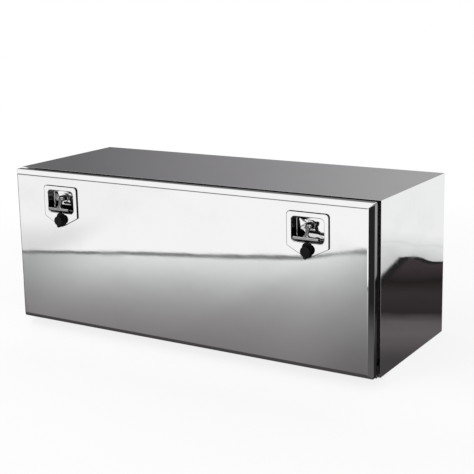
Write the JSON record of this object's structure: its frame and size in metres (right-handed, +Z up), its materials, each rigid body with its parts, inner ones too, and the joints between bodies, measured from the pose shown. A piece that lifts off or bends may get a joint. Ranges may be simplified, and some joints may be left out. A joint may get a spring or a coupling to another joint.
{
  "type": "tool box",
  "caption": "Long stainless steel tool box with a drop-down bevelled front door, recessed folding T-handle latches and slotted door stays.",
  "frame": {"origin": "the middle of the body's underside", "axes": "+X to the right seen from the front, +Y to the back, so that the door faces -Y, +Z up"},
  "size_m": [1.25, 0.5218, 0.49],
  "materials": {
    "polished_stainless": "mirror-polished stainless steel",
    "brushed_stainless": "mill-finish stainless steel",
    "plated_steel": "zinc-plated steel",
    "black_plastic": "black moulded plastic",
    "black_rubber": "soft black rubber",
    "nylon": "natural nylon",
    "brass": "machined brass"
  },
  "bodies": {
    "box": {"body_shell": "polished_stainless", "end_panel_left": "polished_stainless", "end_panel_right": "polished_stainless", "door_seal": "black_rubber", "hinge_body_leaf": "brushed_stainless", "hinge_pin": "plated_steel", "roof_channel_left": "brushed_stainless", "keeper_plate_left": "plated_steel", "stay_stud_left": "plated_steel", "roof_channel_right": "brushed_stainless", "keeper_plate_right": "plated_steel", "stay_stud_right": "plated_steel"},
    "door": {"door_skin": "polished_stainless", "door_liner": "brushed_stainless", "hinge_door_leaf": "brushed_stainless", "stay_bracket_left": "brushed_stainless", "stay_pin_left": "plated_steel", "latch_dish_left": "polished_stainless", "latch_gasket_left": "black_rubber", "latch_backing_plate_left": "plated_steel", "spindle_bush_left": "nylon", "lock_housing_left": "black_plastic", "lock_nut_left": "plated_steel", "cover_rivet_left": "polished_stainless", "stay_bracket_right": "brushed_stainless", "stay_pin_right": "plated_steel", "latch_dish_right": "polished_stainless", "latch_gasket_right": "black_rubber", "latch_backing_plate_right": "plated_steel", "spindle_bush_right": "nylon", "lock_housing_right": "black_plastic", "lock_nut_right": "plated_steel", "cover_rivet_right": "polished_stainless"},
    "stay_left": {"stay_arm_left": "brushed_stainless"},
    "spindle_left": {"latch_spindle_left": "polished_stainless", "handle_pivot_pin_left": "plated_steel", "pawl_left": "plated_steel", "pawl_nut_left": "plated_steel"},
    "handle_left": {"t_handle_left": "polished_stainless"},
    "key_left": {"lock_plug_left": "brass", "lock_cam_left": "plated_steel"},
    "cover_left": {"lock_cover_left": "black_plastic"},
    "stay_right": {"stay_arm_right": "brushed_stainless"},
    "spindle_right": {"latch_spindle_right": "polished_stainless", "handle_pivot_pin_right": "plated_steel", "pawl_right": "plated_steel", "pawl_nut_right": "plated_steel"},
    "handle_right": {"t_handle_right": "polished_stainless"},
    "key_right": {"lock_plug_right": "brass", "lock_cam_right": "plated_steel"},
    "cover_right": {"lock_cover_right": "black_plastic"}
  },
  "joints": [
    {"name": "door_hinge", "type": "hinge", "parent": "box", "child": "door", "pos_m": [0, -0.235, 0.0048], "axis": [1, 0, 0], "range_deg": [0, 90]},
    {"name": "stay_swing_left", "type": "hinge", "parent": "door", "child": "stay_left", "pos_m": [-0.58, -0.222, 0.254], "axis": [1, 0, 0], "range_deg": [-45, 0]},
    {"name": "latch_turn_left", "type": "hinge", "parent": "door", "child": "spindle_left", "pos_m": [-0.431, -0.2703, 0.41], "axis": [0, -1, 0], "range_deg": [0, 90]},
    {"name": "handle_fold_left", "type": "hinge", "parent": "spindle_left", "child": "handle_left", "pos_m": [-0.431, -0.2703, 0.41], "axis": [-1, 0, 0], "range_deg": [0, 66]},
    {"name": "key_turn_left", "type": "hinge", "parent": "door", "child": "key_left", "pos_m": [-0.431, -0.2874, 0.343], "axis": [0, -1, 0], "range_deg": [0, 90]},
    {"name": "cover_swing_left", "type": "hinge", "parent": "door", "child": "cover_left", "pos_m": [-0.431, -0.2877, 0.3275], "axis": [0, -1, 0], "range_deg": [0, 110]},
    {"name": "stay_swing_right", "type": "hinge", "parent": "door", "child": "stay_right", "pos_m": [0.58, -0.222, 0.254], "axis": [1, 0, 0], "range_deg": [-45, 0]},
    {"name": "latch_turn_right", "type": "hinge", "parent": "door", "child": "spindle_right", "pos_m": [0.431, -0.2703, 0.41], "axis": [0, 1, 0], "range_deg": [0, 90]},
    {"name": "handle_fold_right", "type": "hinge", "parent": "spindle_right", "child": "handle_right", "pos_m": [0.431, -0.2703, 0.41], "axis": [-1, 0, 0], "range_deg": [0, 66]},
    {"name": "key_turn_right", "type": "hinge", "parent": "door", "child": "key_right", "pos_m": [0.431, -0.2874, 0.343], "axis": [0, 1, 0], "range_deg": [0, 90]},
    {"name": "cover_swing_right", "type": "hinge", "parent": "door", "child": "cover_right", "pos_m": [0.431, -0.2877, 0.3275], "axis": [0, 1, 0], "range_deg": [0, 110]}
  ],
  "couplings": [
    {"joint": "stay_swing_left", "follows": "door_hinge", "ratio": -0.5},
    {"joint": "stay_swing_right", "follows": "door_hinge", "ratio": -0.5}
  ]
}
